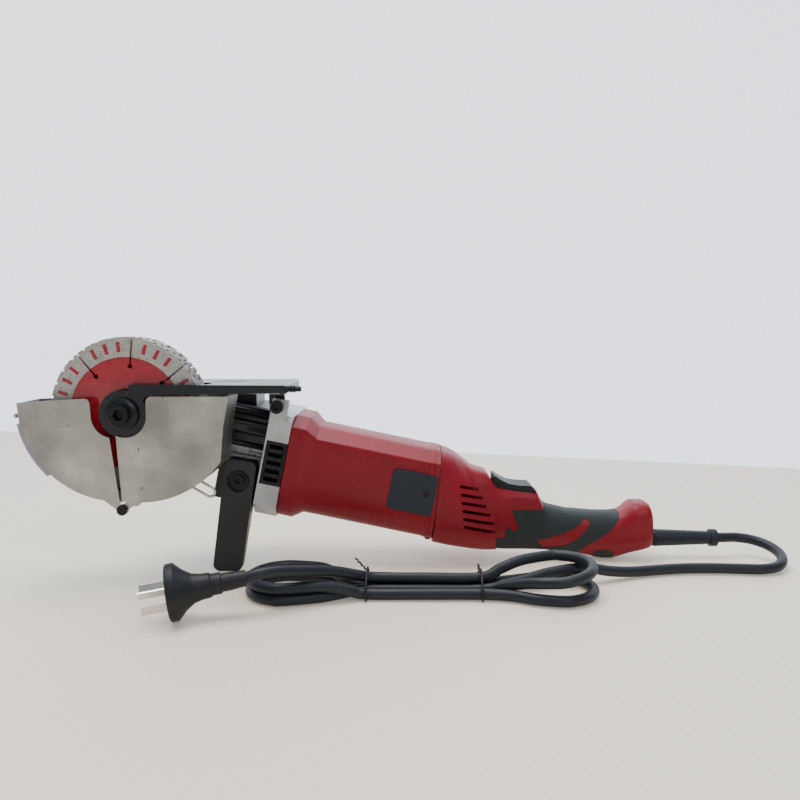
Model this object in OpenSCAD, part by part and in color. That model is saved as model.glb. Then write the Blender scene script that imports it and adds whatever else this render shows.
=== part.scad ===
// Wall chaser: five diamond discs on one spindle, driven through a bevel pair and a spur pair by a
// tilted universal motor. It lies on its side handle and the heel of its grip, with the shoe on top.
// All lengths are millimetres. The drawing's own zero is a point on the table under the motor;
// frame_x and frame_y move that drawing so that the tool's box is centred on the origin.

/* [Discs] */
// Diameter of a cutting disc over its rim
disc_d = 125; // [116:1:125]
// Thickness of a disc's steel core
core_t = 1.6; // [1.2:0.1:1.8]
// Thickness of the sintered rim
rim_t = 2.2; // [2:0.1:2.6]
// Distance from one disc to the next
disc_pitch = 5.4; // [4.8:0.1:5.4]
// Radius at which the rim starts
rim_in_r = 46; // [44:0.5:48]
// Angle that one rim tooth takes
tooth_step = 11.25; // [11.25]

/* [Motor housing] */
// Downward tilt of the motor axis towards the grip
tilt = 11.7; // [11.7]
// Width of the motor housing
motor_w = 82; // [80:1:84]
// Height of the motor housing
motor_h = 83; // [81:1:85]
// Height of its front flange
flange_h = 96; // [92:1:97]
// Width of its front flange
flange_w = 90; // [88:1:92]
// Radius of the stator
stator_r = 37; // [36:0.5:37]

/* [Guard] */
// Thickness of the guard's sheet
guard_t = 1.5; // [1.2:0.1:2]
// Radius of the swinging half's rim
swing_r = 80.3; // [78:0.1:82]
// Radius of the fixed half's rim
fixed_r = 82; // [80:0.5:83]
// Angle at which the swinging half stands open
swing_open = 3.7; // [0:0.1:6]

/* [Side handle] */
// Width of the handle at its bolt
side_w = 27.5; // [24:0.5:29]
// Thickness at its bolt
side_t = 15; // [12:0.5:15]
// Sideways lean of the handle
side_lean = 8.2; // [8.2]

/* [Cord] */
// Diameter of the mains cord
cord_d = 9; // [8:0.5:9]
// Diameter of the plug's face
plug_d = 42; // [38:1:42]

/* [Hidden] */
$fn = 64;
e = 0.01;

// Where the drawing's zero lies in the part's frame
frame_x = 41.47;
frame_y = 23.5;

// Where the motor axis meets the front of the motor housing
motor_x = -101.5;
motor_z = 88.8;
// Cross shaft and spindle, along and above the motor axis
cross_u = -96;
spindle_u = -131.4;
spindle_v = 27.8;
spindle_x = motor_x + spindle_u * cos(tilt) + spindle_v * sin(tilt);
spindle_z = motor_z - spindle_u * sin(tilt) + spindle_v * cos(tilt);
disc_r = disc_d / 2;

// Distances in front of the motor plane, towards the discs
stack_mid = 63.2;
stack_front = stack_mid + 2 * disc_pitch + core_t / 2;
stack_back = stack_mid - 2 * disc_pitch - core_t / 2;
arm_back = 77;
arm_front = 83;
guard_back = 48;
guard_front = 85;
seat_r = 11;
journal_r = 6;
fit = 0.05;

// Spur pair between the cross shaft and the spindle
spur_m = 1.5;
spindle_teeth = 26;
drive_teeth = 34;
mesh_angle = atan2(spindle_v, spindle_u - cross_u);
// Bevel pair between the armature and the cross shaft
bevel_m = 1.4;
bevel_teeth_n = 37;
pinion_teeth_n = 11;
bevel_face = 8;
bevel_cone = atan2(bevel_teeth_n, pinion_teeth_n);
cone_far = bevel_m * bevel_teeth_n / 2 / sin(bevel_cone);

// Guard: the pin that both halves hang on, and each half's rim centre, in the drawing
pin_x = -226.7;
pin_z = 64;
guard_top = 157;
swing_cx = -223.5;
swing_cz = 151;
fixed_cx = -212;
fixed_cz = 152;
cutout_r = 17.5;
cutout_z = 141;

// Shoe
plate_top = 166;
plate_t = 3;
plate_left = -158;
plate_right = -92;
plate_far = -5;

// Side handle's bolt, in the drawing
bolt_x = -140.1;
bolt_z = 80.1;
bolt_u = (bolt_x - motor_x) * cos(tilt) - (bolt_z - motor_z) * sin(tilt);
bolt_v = (bolt_x - motor_x) * sin(tilt) + (bolt_z - motor_z) * cos(tilt);
side_back = 31;

// Rear shells: outline seen from the side, from the motor housing's end round to the heel
shell_side = [
    [20, 120], [38, 103], [51, 99.3], [60, 92.6], [67, 85], [80.4, 82.4], [84, 79], [85.5, 71],
    [95, 67.2], [105, 65.6], [117, 64.8], [124.6, 63.6], [130.4, 53], [136, 49.7], [153, 45.8],
    [178, 43.8], [199, 43.8], [205, 45.8], [212, 52.2], [215, 53.4], [225, 53.4], [228, 51],
    [230, 45], [230.5, 37], [229, 29], [231.2, 24], [231, 12], [229.6, 9.8], [210, 5],
    [197, 0], [185, 0], [165, 4],
    [135, 7.5], [95, 8.5], [65, 11.2], [37, 17], [20, 20]
];
// The same shells seen from above, near side only
shell_plan = [
    [20, 41], [40, 40.5], [53, 38], [66, 31.5], [80, 24.5], [95, 20], [112, 18.5], [190, 18],
    [205, 19], [214, 21.5], [226, 20.5], [231.2, 15]
];
shell_wall = 3;
skin = 1.5;
// Rubber on the grip, seen from the side: its zigzag front, its rear edge and the bare stripe
grip_side = [
    [132, 70], [130, 48.6], [101, 48.2], [106.6, 33], [105.3, 28], [95.7, 33], [95, 23.2],
    [84, 21.7], [78, 13], [76, -5], [160, -5], [173, 17.4], [185, 24.6], [196, 35], [200, 41.5],
    [201, 70]
];
grip_stripe = [
    [124, 20], [148, 27], [158.5, 32], [166.5, 38.7], [170.5, 39], [171.7, 35.8], [169, 30],
    [161.7, 22.3], [150, 15], [130, 12]
];
heel_patch = [[178, -5], [177, 10], [190, 11], [195, 4], [195, -5]];

// Trigger
trigger_x = 90;
trigger_z = 68;
trigger_half = 14;

// Where the plug's face lies, how it is turned, and how long the plug is
plug_x = -168;
plug_y = -160;
plug_yaw = 14;
plug_l = 56.7;
plug_pitch = 7;
plug_z = plug_d / 2 * cos(plug_pitch) - sin(plug_pitch) + 0.1;
plug_reach = plug_l * cos(plug_pitch);
plug_top = plug_z + plug_l * sin(plug_pitch);
// Cord: route of the lead from the strain relief to the hank, and of the tail to the plug
relief_x = 293;
relief_z = 18;
lead_end = [152.3, -78.9, 14];
lead_route = [
    [293, 0, 18], [300, 0.4, 18], [307, 1.8, 17.8], [313, 3, 17.4], [324.6, 0.4, 16.4],
    [334.1, -6.8, 14.6], [339.6, -17.4, 12.2], [340.1, -29.3, 9.6], [335.5, -40.3, 7.2],
    [326.8, -48.3, 5.4], [313, -52, 4.7], [295, -51, 4.7], [272, -49.5, 4.7], [248, -50, 4.7],
    [224, -54, 4.7], [200, -61, 5.2], [178, -68.5, 8], [162, -74, 12], lead_end
];
tail_route = [
    [plug_x + plug_reach * cos(plug_yaw) + e, plug_y + plug_reach * sin(plug_yaw), plug_top],
    [-103, -143.8, 30.3], [-90, -137, 30], [-75, -128.5, 27.6], [-60, -119.5, 24.6],
    [-48.2, -113, 22.8]
];
cord_sides = 10;
hank_h = 28;
lobe_h = 18.2;
hank_left = -90;
hank_right = 125;
hank_mid = -101;
hank_half = 21;
bar_left = -48;

// ---------- placing ----------

module on_table() translate([frame_x, frame_y, 0]) children();

// X runs along the motor axis towards the grip, Z stands square to it
module on_motor() on_table() translate([motor_x, 0, motor_z]) rotate([0, tilt, 0]) children();

// Z runs out towards the discs; Y stays upright
module on_spindle() on_table() translate([spindle_x, 0, spindle_z]) rotate([90, 0, 0]) children();

// The same axis, turned with the motor
module on_geared_spindle()
    on_motor() translate([spindle_u, 0, spindle_v]) rotate([90, 0, 0]) children();

module on_cross() on_motor() translate([cross_u, 0, 0]) rotate([90, 0, 0]) children();

// Z runs along the motor axis
module on_armature(u) on_motor() translate([u, 0, 0]) rotate([0, 90, 0]) children();

// A flat outline in X and Z, given thickness between two distances in front of the motor plane
module side_slab(near, far)
    translate([0, -far, 0]) rotate([90, 0, 0]) linear_extrude(near - far) children();

// ---------- shared shapes ----------

module ring(outer, inner, height) difference() {
    cylinder(r = outer, h = height);
    translate([0, 0, -1]) cylinder(r = inner, h = height + 2);
}

module rounded_square(w, h, r) {
    square([w - 2 * r, h], center = true);
    square([w, h - 2 * r], center = true);
    for (x = [-1, 1], y = [-1, 1])
        translate([x * (w / 2 - r), y * (h / 2 - r)]) circle(r, $fn = 32);
}

module hex(across, height) cylinder(r = across / 2 / cos(30), h = height, $fn = 6);

// A screw with a domed head, standing on its tip
module screw(head_r, head_h, shank_r, length) {
    cylinder(r = shank_r, h = length + e, $fn = 24);
    translate([0, 0, length]) difference() {
        cylinder(r = head_r, h = head_h, $fn = 32);
        translate([0, 0, head_h - 1.2]) cube([head_r * 1.2, 0.8, 3], center = true);
        translate([0, 0, head_h - 1.2]) cube([0.8, head_r * 1.2, 3], center = true);
    }
}

// A ball bearing as two races and a shield between them, all one sealed ring
module bearing(outer, inner, width) {
    difference() {
        ring(outer - fit, inner + fit, width);
        for (z = [-1, width - 0.4])
            translate([0, 0, z]) ring(outer * 0.82, inner * 1.35, 1.4);
    }
}

// Moves every corner of a closed outline inwards by d; the outline runs clockwise
function unit(v) = v / norm(v);
function inward(a, b) = let (t = unit(b - a)) [t[1], -t[0]];
function inset(p, d) = [
    for (i = [0:len(p) - 1])
        let (a = p[(i + len(p) - 1) % len(p)], b = p[i], c = p[(i + 1) % len(p)],
             m = inward(a, b), n = inward(b, c))
        b + d * (m + n) / (1 + m * n)
];

function arc(cx, cy, r, from, to, steps) =
    [for (i = [0:steps]) let (a = from + (to - from) * i / steps) [cx + r * cos(a), cy + r * sin(a)]];

// ---------- gears ----------

// One tooth as [share of the pitch off its centre line, radius]
function spur_tooth(r, m) = [
    [-0.29, r - 1.2 * m], [-0.205, r], [-0.11, r + 0.85 * m], [0.11, r + 0.85 * m], [0.205, r],
    [0.29, r - 1.2 * m]
];

module spur_outline(teeth, m)
    polygon([
        for (i = [0:teeth - 1]) for (p = spur_tooth(m * teeth / 2, m))
            let (a = 360 / teeth * (i + p[0])) [p[1] * cos(a), p[1] * sin(a)]
    ]);

// Point on a cone: far along it, off its surface, and to the side
function on_cone(along, off, side, cone) =
    let (r = along * sin(cone) + off * cos(cone), a = side / r * 180 / PI)
    [r * cos(a), r * sin(a), along * cos(cone) - off * sin(cone)];

function bevel_ring(k, cone) = [
    for (p = [[-0.29, -1.45], [-0.205, 0], [-0.11, 0.8], [0.11, 0.8], [0.205, 0], [0.29, -1.45]])
        on_cone(cone_far * k, p[1] * bevel_m * k, p[0] * PI * bevel_m * k, cone)
];

module bevel_tooth(cone) {
    near = (cone_far - bevel_face) / cone_far;
    polyhedron(
        points = concat(bevel_ring(near, cone), bevel_ring(1, cone)),
        faces = concat(
            [[0, 1, 2, 3, 4, 5], [11, 10, 9, 8, 7, 6]],
            [for (i = [0:5]) [i, i + 6, (i + 1) % 6 + 6, (i + 1) % 6]]
        )
    );
}

module bevel_wheel(teeth, cone, bore, hub_r, hub_far) {
    near = (cone_far - bevel_face) / cone_far;
    root = 1.2 * bevel_m;
    a = on_cone(cone_far * near, -root * near, 0, cone);
    b = on_cone(cone_far, -root, 0, cone);
    rotate_extrude() polygon([
        [bore, a[2]], [a[0], a[2]], [b[0], b[2]], [b[0], b[2] + 2.5], [hub_r, b[2] + 2.5],
        [hub_r, hub_far], [bore, hub_far]
    ]);
    for (i = [0:teeth - 1]) rotate(360 / teeth * i) bevel_tooth(cone);
}

module spindle_gear() color("silver") on_geared_spindle() translate([0, 0, 36]) difference() {
    rotate(mesh_angle + 180 + 180 / spindle_teeth)
        linear_extrude(8) spur_outline(spindle_teeth, spur_m);
    translate([0, 0, -1]) cylinder(r = 8 + fit, h = 10);
}

module drive_gear() color("silver") on_cross() translate([0, 0, 36]) difference() {
    rotate(mesh_angle) linear_extrude(8) spur_outline(drive_teeth, spur_m);
    translate([0, 0, -1]) cylinder(r = 5 + fit, h = 10);
    for (i = [0:5]) rotate(60 * i) translate([15, 0, -1]) cylinder(r = 4, h = 10, $fn = 32);
}

module bevel_gear() color("silver") on_cross()
    bevel_wheel(bevel_teeth_n, bevel_cone, journal_r + fit, 10, 24);

module bevel_pinion() color("silver") on_armature(cross_u) rotate(90)
    bevel_wheel(pinion_teeth_n, 90 - bevel_cone, 4 + fit, 5.8, 30);

module cross_shaft() color("gainsboro") on_cross() {
    translate([0, 0, -20]) cylinder(r = journal_r, h = 53);
    translate([0, 0, 33]) cylinder(r = 7, h = 3);
    translate([0, 0, 33]) cylinder(r = 5, h = 11.5);
}

// ---------- spindle and discs ----------

module spindle() color("gainsboro") on_spindle() difference() {
    union() {
        translate([0, 0, 25]) cylinder(r = journal_r, h = 9);
        translate([0, 0, 34]) cylinder(r = 8, h = 12);
        translate([0, 0, 46]) cylinder(r = 8.5, h = 1.4);
        translate([0, 0, 47.3]) cylinder(r = 13, h = 0.7);
        translate([0, 0, 47.8]) cylinder(r = seat_r, h = 28.6);
        translate([0, 0, 76]) cylinder(r = journal_r, h = arm_front - 76);
    }
    translate([0, 0, 62]) cylinder(r = 4 + fit, h = 40);
}

module spindle_bolt() color("dimgray") on_spindle() difference() {
    union() {
        translate([0, 0, 64]) cylinder(r = 4, h = 20);
        translate([0, 0, arm_front + 0.1]) cylinder(r = 8, h = 1.2);
        translate([0, 0, arm_front + 1]) cylinder(r = 13, h = 2.4);
        translate([0, 0, arm_front + 3.4]) cylinder(r1 = 13, r2 = 10.5, h = 1.6);
        translate([0, 0, arm_front + 5]) cylinder(r = 7.4, h = 5);
    }
    translate([0, 0, arm_front + 5]) hex(8.6, 6);
}

module outer_flange() color("dimgray") on_spindle() translate([0, 0, stack_front])
    ring(20, seat_r + fit, 1.7);

module inner_flange() color("dimgray") on_spindle() translate([0, 0, guard_back])
    ring(20, seat_r + fit, stack_back - guard_back);

module blade_spacers() color("dimgray") on_spindle() for (i = [-2:1])
    translate([0, 0, stack_mid + i * disc_pitch + core_t / 2])
        ring(17, seat_r + fit, disc_pitch - core_t);

// A keyhole slot runs in from the rim every fourth tooth; windows show the core between the others
module keyhole_slots() for (i = [0:7]) rotate(45 * i) {
    translate([38.5, 0, -5]) cylinder(r = 2.1, h = 10, $fn = 24);
    translate([38.5, -0.7, -5]) cube([40, 1.4, 10]);
}

module rim_windows() for (i = [0:31]) if (i % 4 != 0) rotate(tooth_step * i)
    for (z = [core_t / 2, -core_t / 2 - 4]) translate([50, -1.45, z]) cube([8.6, 2.9, 4]);

// Each tooth's leading edge stands proud of a short step
module rim_steps() for (i = [0:31]) rotate(tooth_step * (i + 0.36))
    translate([disc_r - 1.5, 0, -5]) cube([6, 2.3, 10]);

module blade(number, turn) on_spindle() {
    z = stack_mid + (3 - number) * disc_pitch;
    translate([0, 0, z]) rotate(turn) difference() {
        union() {
            color("firebrick") translate([0, 0, -core_t / 2])
                cylinder(r = rim_in_r + 1, h = core_t, $fn = 128);
            color("silver") translate([0, 0, -rim_t / 2]) ring(disc_r, rim_in_r, rim_t, $fn = 128);
        }
        translate([0, 0, -5]) cylinder(r = seat_r + fit, h = 10);
        keyhole_slots();
        rim_windows();
        rim_steps();
    }
}

module blade_1() blade(1, 84);
module blade_2() blade(2, 80);
module blade_3() blade(3, 88);
module blade_4() blade(4, 77);
module blade_5() blade(5, 82);

// ---------- gear head ----------

module gear_bearings() color("silver") {
    on_cross() for (z = [-19.5, 24.8]) translate([0, 0, z]) bearing(14, journal_r, 8);
    on_spindle() translate([0, 0, 24.9]) bearing(14, journal_r, 8);
    on_spindle() translate([0, 0, arm_back]) bearing(12, journal_r, arm_front - arm_back);
}

module motor_bearings() color("silver") {
    on_armature(-20) bearing(14, journal_r, 8);
    on_armature(128) bearing(11, 4, 7);
}

// Round bars cast along the head's near face: [height, radius, left end]
head_ribs = [[43.6, 5, -58], [30, 6.5, -58], [14.7, 3, -58], [7.2, 2.8, -58], [1.6, 2.6, -58]];

module gear_housing() color("dimgray") {
    difference() {
        head_casting();
        // Seat of the side handle
        on_side_handle() translate([-16, -60, -70]) cube([32, 60 - side_back, 89]);
    }
    // Post under the shoe
    on_table() translate([-148, -20, 140]) cube([20, 40, plate_top - plate_t - 140]);
}

module head_casting() on_motor() difference() {
    union() {
        translate([-58, -35, -2]) cube([38, 72, 46]);
        translate([-58, -31, -38]) cube([38, 66, 37]);
        translate([-58, -26, 40]) cube([38, 56, 8]);
        for (rib = head_ribs) translate([rib[2], -34, rib[0]]) rotate([0, 90, 0])
            cylinder(r = rib[1], h = 38, $fn = 32);
        translate([-78, 0, 0]) rotate([0, 90, 0]) cylinder(r = 15, h = 21);
        translate([cross_u, 22, 0]) rotate([90, 0, 0]) cylinder(r = 30.5, h = 55);
        translate([-96, -33, -6]) cube([40, 55, 26]);
        translate([spindle_u, -20, spindle_v]) rotate([90, 0, 0]) cylinder(r = 19.5, h = 13);
        translate([spindle_u, -33, 4]) cube([36, 13, 30]);
    }
    translate([cross_u, 10.5, 0]) rotate([90, 0, 0]) cylinder(r = 27.2, h = 34.9);
    translate([cross_u, 20, 0]) rotate([90, 0, 0]) cylinder(r = 14, h = 60);
    translate([-90, 0, 0]) rotate([0, 90, 0]) cylinder(r = 11.5, h = 40);
    translate([-54, 0, 0]) rotate([0, 90, 0]) cylinder(r = 27, h = 40);
    translate([spindle_u, -24.8, spindle_v]) rotate([90, 0, 0]) cylinder(r = 14, h = 20);
    translate([bolt_u, -20, bolt_v]) rotate([90, 0, 0]) cylinder(r = 4, h = 20);
    translate([bolt_u, 50, bolt_v]) rotate([90, 0, 0]) cylinder(r = 4, h = 24.5);
}

module transfer_outline(extra) {
    circle(28.8 + extra);
    translate([spindle_u - cross_u, spindle_v]) circle(22.6 + extra);
    rotate(mesh_angle) translate([0, -18]) square([45, 36]);
}

module transfer_case() color("dimgray") on_cross() translate([0, 0, 33]) difference() {
    linear_extrude(12) transfer_outline(0);
    translate([0, 0, 1.5]) linear_extrude(12) transfer_outline(-1.4);
    translate([0, 0, -1]) cylinder(r = 8.5, h = 4);
    translate([spindle_u - cross_u, spindle_v, -1]) cylinder(r = 10, h = 4);
}

module transfer_cover() color("gray") on_cross() translate([0, 0, 45]) difference() {
    linear_extrude(2) transfer_outline(0);
    translate([spindle_u - cross_u, spindle_v, -1]) cylinder(r = 9.5, h = 4);
    translate([0, 0, -1]) cylinder(r = 6, h = 2);
}

// Section of the bearing flange, square on top and cut away underneath
flange_section = [
    [-46, 43], [-42, 47.5], [42, 47.5], [46, 43], [46, -33], [27, -45.5], [-27, -45.5], [-46, -33]
];

module bearing_flange() color("lightgray") on_motor() {
    difference() {
        union() {
            translate([-20, 0, 0]) rotate([90, 0, 90]) linear_extrude(20) polygon(flange_section);
            translate([-20, -47, 40]) cube([14, 8, 25]);
        }
        translate([-21, 0, 0]) rotate([0, 90, 0]) cylinder(r = 14, h = 9);
        translate([-21, 0, 0]) rotate([0, 90, 0]) cylinder(r = 9, h = 22);
        translate([-8, 0, 0]) rotate([0, 90, 0]) cylinder(r = 34, h = 9);
        for (side = [-1, 1]) translate([-18.5, side * 39 - 8, -14.5]) cube([19, 16, 38.5]);
        on_lug() translate([0, 0, -1]) cylinder(r = 3 + fit, h = 20);
        translate([-21, -50, 61]) cube([30, 14, 20]);
    }
}

// The lug's bolt axis, running in from the near side
module on_lug() translate([-15.2, -38, 60.4 - 6.4]) rotate([90, 0, 0]) children();

module lug_bolt() color("black") on_motor() on_lug() {
    translate([0, 0, -4]) cylinder(r = 3, h = 14);
    translate([0, 0, 9]) difference() {
        cylinder(r = 5.6, h = 4.2);
        translate([0, 0, 1.4]) hex(5, 4);
    }
}

module vent_grilles() color("black") on_motor() for (side = [-1, 1])
    translate([-9.3, side * 42.6, 4.75]) rotate([90, 0, 0]) difference() {
        translate([0, 0, -3]) linear_extrude(6) square([18.2, 38.2], center = true);
        for (i = [0:4]) translate([0, -14.4 + 7.2 * i, -4])
            linear_extrude(10) rounded_square(12.5, 3.6, 1.2);
    }

// ---------- shoe, arm and water feed ----------

module base_plate() color("black") on_table() difference() {
    union() {
        translate([plate_left, -arm_back, plate_top - plate_t])
            cube([plate_right - plate_left, arm_back + plate_far, plate_t]);
        translate([-206, -47, plate_top - plate_t]) cube([52, 42, plate_t]);
        translate([plate_left, -arm_back, 158.5]) cube([plate_right - plate_left, 3, 6]);
        translate([plate_right - 2.5, -arm_back, 159.5]) cube([2.5, arm_back + plate_far, 5]);
        // Ear beside the bearing flange's lug
        translate([-114, -37.6, 146]) cube([14, 3, 18]);
    }
    translate([-149, -31, 160]) linear_extrude(10) rounded_square(32, 12, 5.9);
    for (x = arm_screw_x) translate([x, -arm_back + 5, arm_screw_z]) rotate([90, 0, 0])
        cylinder(r = 1.25, h = 8, $fn = 24);
    on_lug_place() cylinder(r = 3 + fit, h = 30);
}

module on_lug_place() translate([motor_x, 0, motor_z]) rotate([0, tilt, 0]) on_lug()
    translate([0, 0, -15]) children();

// The arm reaches from the shoe's right end to the ring around the spindle's outer bearing
arm_side = [
    [-224, 166.6], [-93, 166], [-92, 165], [-92, 160.4], [-94, 159.6], [-160, 158.6],
    [-206, 157.4], [-210, 150], [-224, 150]
];
arm_screw_x = [-150, -128, -106];
arm_screw_z = 161.2;

module support_arm() color("black") on_table() difference() {
    union() {
        side_slab(arm_front, arm_back) polygon(arm_side);
        translate([spindle_x, -arm_back, spindle_z]) rotate([90, 0, 0])
            cylinder(r = 19.6, h = arm_front - arm_back);
        translate([-95.5, -80, 160.4]) rotate([180, 0, 0]) cylinder(r = 1.8, h = 2.4, $fn = 32);
    }
    translate([spindle_x, -arm_back + 1, spindle_z]) rotate([90, 0, 0]) cylinder(r = 12, h = 10);
    // Left of the ring the bar is cut away
    translate([-250, -90, spindle_z + 19]) cube([30.5, 20, 20]);
    for (x = arm_screw_x) translate([x, -arm_back + 1, arm_screw_z]) rotate([90, 0, 0])
        cylinder(r = 1.25, h = 5, $fn = 24);
    translate([-120, -80, 163]) rotate([0, 90, 0]) cylinder(r = 1.6, h = 40, $fn = 24);
}

module arm_screws() color("dimgray") on_table() for (x = arm_screw_x)
    translate([x, -arm_front + 2.4, arm_screw_z]) rotate([-90, 0, 0]) screw(1.75, 1.6, 1.2, 6.7);

// Nipple for the water hose: two barbs behind a plain nose
module hose_barb() color("black") on_table() translate([plate_right, -80, 163]) rotate([0, 90, 0])
    difference() {
        rotate_extrude() polygon([
            [0, 0], [2.8, 0], [2.8, 2], [2.1, 2.4], [3.4, 4], [2.2, 5], [3.3, 6.6], [2.3, 7.4],
            [2.3, 12], [0, 12]
        ]);
        translate([0, 0, -1]) cylinder(r = 1.2, h = 20, $fn = 24);
    }

// ---------- guard ----------

// Both outlines are drawn with the guard shut, counter-clockwise from the slit's foot
slit_foot = [-228.4, pin_z + 5.6];
slit_head = [-232, 128];
fixed_outline = concat(
    [[-229, guard_top], slit_head + [1.4, 0], slit_foot + [1.4, 0.2]],
    arc(fixed_cx, fixed_cz, fixed_r, 260, 324, 16),
    [[-143, 131.7], [-138.2, guard_top]]
);
swing_outline = concat(
    [slit_foot, slit_head, [-229.5, guard_top]],
    [[-304.3, guard_top]],
    arc(swing_cx, swing_cz, swing_r, 183, 263, 20)
);

module hub_cutout(cx, r) {
    translate([cx, cutout_z]) circle(r);
    translate([cx - r, cutout_z]) square([2 * r, 40]);
}

// Leaves a rounded lip where the cut-out meets the top edge
module lip(x, side) translate([x, guard_top]) difference() {
    translate([side > 0 ? 0 : -4.5, -4.5]) square([4.5, 10]);
    translate([side * 4.5, -4.5]) circle(4.5, $fn = 32);
}

module guard_sheet(outline, cx, side) difference() {
    polygon(outline);
    hub_cutout(cx, cutout_r);
    lip(cx + side * cutout_r, side);
}

module guard_half(outline, cx, side) {
    side_slab(guard_front, guard_front - guard_t) guard_sheet(outline, cx, side);
    side_slab(guard_back + 1.3, guard_back) difference() {
        polygon(outline);
        translate([spindle_x, spindle_z]) circle(23.5);
        translate([spindle_x - 30, spindle_z]) square([60, 40]);
        polygon([[-235, 60], [-222, 60], [-216, 130], [-244, 130]]);
    }
}

module fixed_rim() side_slab(guard_front - e, guard_back) difference() {
    polygon(fixed_outline);
    polygon(concat(
        [[-240, guard_top + 20], [-240, pin_z + 8]],
        arc(fixed_cx, fixed_cz, fixed_r - guard_t, 258, 324, 16),
        [[-143 - guard_t, 131.7], [-138.2 - guard_t, guard_top + 20]]
    ));
}

module swing_rim() side_slab(guard_front - e, guard_back) difference() {
    polygon(swing_outline);
    polygon(concat(
        [[-210, pin_z + 7], [-210, guard_top + 20], [-304.3 + guard_t, guard_top + 20]],
        arc(swing_cx, swing_cz, swing_r - guard_t, 183, 266, 20)
    ));
}

module ear(near, web) side_slab(near, near - 1.6) {
    translate([pin_x, pin_z]) circle(4.4);
    polygon(concat([[pin_x, pin_z]], web));
}

fixed_web = [[-222.6, pin_z], [-213, 69.6], [-213, 72], [-224, 71.5]];
swing_web = [[-232.6, pin_z], [-243, 73.2], [-241, 76], [-231.2, 72.5]];

module fixed_guard() color("silver") on_table() difference() {
    union() {
        guard_half(fixed_outline, -222.8, 1);
        fixed_rim();
        for (near = [guard_front, guard_back + 4]) ear(near, fixed_web);
    }
    pin_bore();
    // Seats of the wire loop's two feet
    loop_place() for (y = [-1, 1])
        translate([-8, y * 4, 0]) rotate([0, 90, 0]) cylinder(r = 1.25, h = 12, $fn = 24);
}

module pin_bore() translate([pin_x, -40, pin_z]) rotate([90, 0, 0]) cylinder(r = 2.05, h = 60);

module at_swing() on_table() translate([pin_x, 0, pin_z]) rotate([0, -swing_open, 0])
    translate([-pin_x, 0, -pin_z]) children();

module swing_guard() color("silver") at_swing() difference() {
    union() {
        guard_half(swing_outline, -227.6, -1);
        swing_rim();
        for (near = [guard_front - 1.9, guard_back + 6]) ear(near, swing_web);
        // Knuckle of the dust door
        door_place() for (z = [50, 76]) translate([0, 0, z]) {
            cylinder(r = 1.9, h = 6, $fn = 32);
            translate([0, -1.2, 0]) cube([4.2, 2.4, 6]);
        }
    }
    pin_bore();
    door_place() translate([0, 0, 40]) cylinder(r = 0.85, h = 50, $fn = 24);
}

module guard_pin() color("black") on_table() translate([pin_x, -guard_back + 5, pin_z])
    rotate([90, 0, 0]) {
        cylinder(r = 2, h = guard_front - guard_back + 5.2);
        translate([0, 0, guard_front - guard_back + 5.2]) cylinder(r = 4.4, h = 2);
        translate([0, 0, -1.8]) cylinder(r = 3.4, h = 2);
    }

// The dust door's hinge axis, running out towards the near side
door_x = -307.1;
door_z = 146.4;
module door_place() translate([door_x, 0, door_z]) rotate([90, 0, 0]) children();

module dust_door() color("thistle") at_swing() difference() {
    union() {
        side_slab(guard_front - 2, guard_back + 2) polygon(concat(
            arc(swing_cx, swing_cz, swing_r + 0.8, 187.5, 221.5, 14),
            arc(swing_cx, swing_cz, swing_r + 4, 221.5, 187.5, 14)
        ));
        door_place() translate([0, 0, 57]) {
            cylinder(r = 1.8, h = 18, $fn = 32);
            translate([-1.8, -7.5, 0]) cube([2.2, 7.5, 18]);
        }
    }
    door_place() translate([0, 0, 40]) cylinder(r = 0.85, h = 50, $fn = 24);
}

module door_pin() color("gainsboro") at_swing() door_place()
    translate([0, 0, 49]) cylinder(r = 0.8, h = 34, $fn = 24);

module door_catch() color("silver") at_swing() side_slab(74, 58) polygon(concat(
    arc(swing_cx, swing_cz, swing_r, 236, 230, 4),
    [[-282.6, 92.2], [-283.4, 91.2]],
    arc(swing_cx, swing_cz, swing_r + 1, 230, 236, 4)
));

// The loop's plane lies in the side view; X runs out along the loop
module loop_place() translate([-171, -62, 80]) rotate([0, 30, 0]) rotate([90, 0, 0]) children();

module wire_loop() color("gainsboro") on_table() loop_place() {
    for (y = [-1, 1]) translate([-5.5, y * 4, 0]) rotate([0, 90, 0])
        cylinder(r = 1.2, h = 17.5, $fn = 24);
    translate([12, 0, 0]) rotate(-90) rotate_extrude(angle = 180)
        translate([4, 0]) circle(1.2, $fn = 24);
}

// ---------- motor ----------

module motor_section(w, h, r) intersection() {
    square([h, w], center = true);
    circle(r, $fn = 96);
}

// Side view of the front flange, with its sloping shoulder
flange_side = [[0, -48], [13, -48], [24, -40], [24, 40], [13, 48], [0, 48]];

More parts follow.
